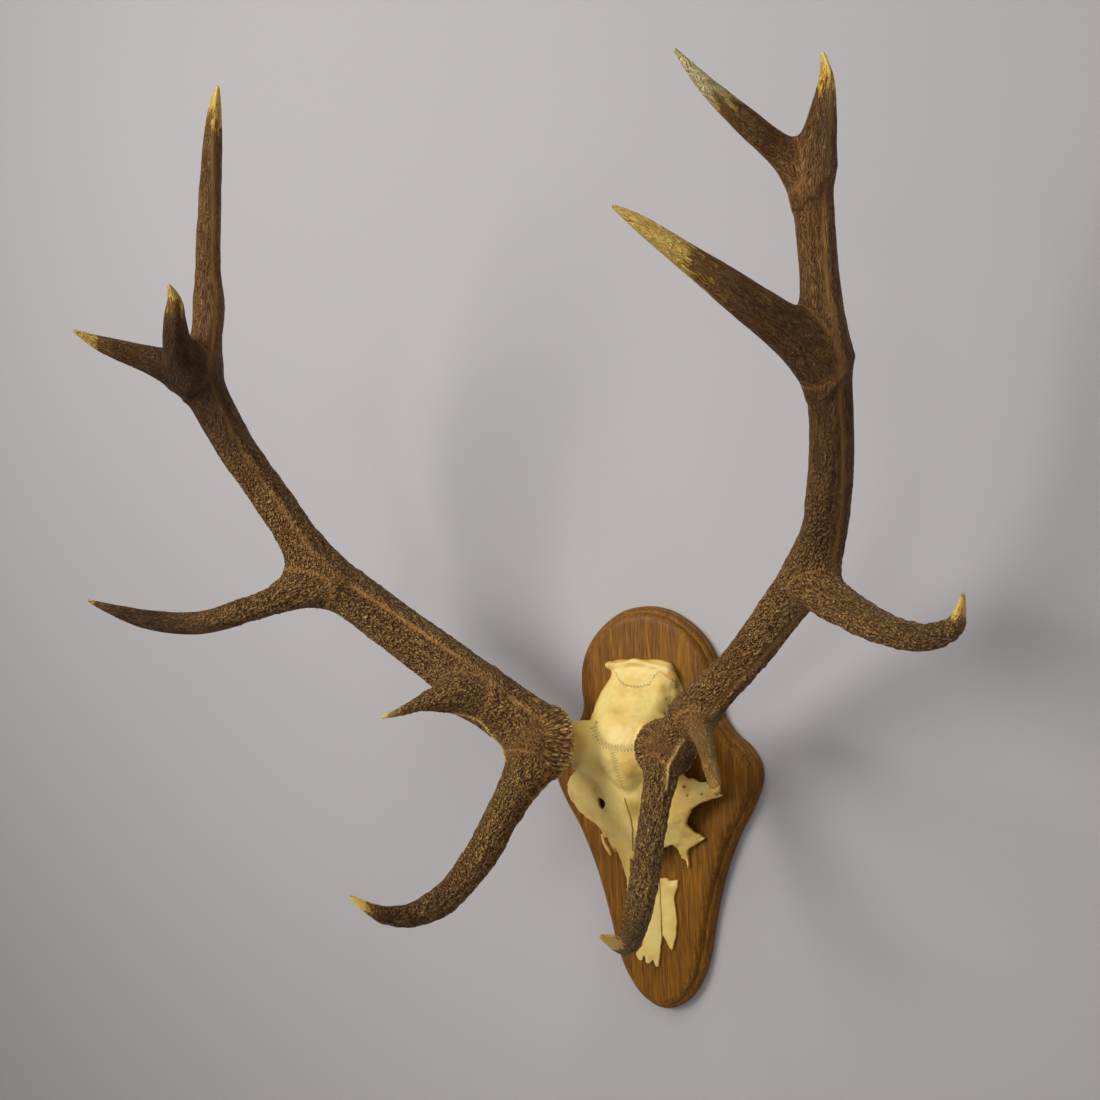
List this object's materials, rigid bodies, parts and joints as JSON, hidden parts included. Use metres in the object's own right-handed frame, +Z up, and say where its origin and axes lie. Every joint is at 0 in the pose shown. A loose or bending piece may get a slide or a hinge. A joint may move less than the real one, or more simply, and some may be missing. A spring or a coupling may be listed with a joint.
{
  "type": "red deer antler trophy",
  "caption": "Wall trophy: branching dark antlers on a short-cut pale skull, mounted flat on a shield-shaped oak board with a moulded edge.",
  "frame": {"origin": "middle of the board's flat back, half way up and across", "axes": "+X to the viewer's right, +Y into the wall along the back's outward normal, +Z up; the trophy faces -Y"},
  "size_m": [0.8362, 0.4007, 0.9035],
  "materials": {
    "oak": "brown stained oak under satin varnish",
    "bone": "cleaned cream bone with a dull sheen",
    "antler": "pearled dark brown antler with pale polished tips"
  },
  "bodies": {
    "root": {"oak_board": "oak", "skull": "bone", "left_nose_bone": "bone", "right_nose_bone": "bone", "left_beam": "antler", "left_brow_tine": "antler", "left_bez_tine": "antler", "left_tray_tine": "antler", "left_crown_front_tine": "antler", "left_crown_short_tine": "antler", "right_beam": "antler", "right_brow_tine": "antler", "right_bez_tine": "antler", "right_tray_tine": "antler", "right_crown_inner_tine": "antler", "right_crown_upper_tine": "antler"}
  },
  "joints": []
}
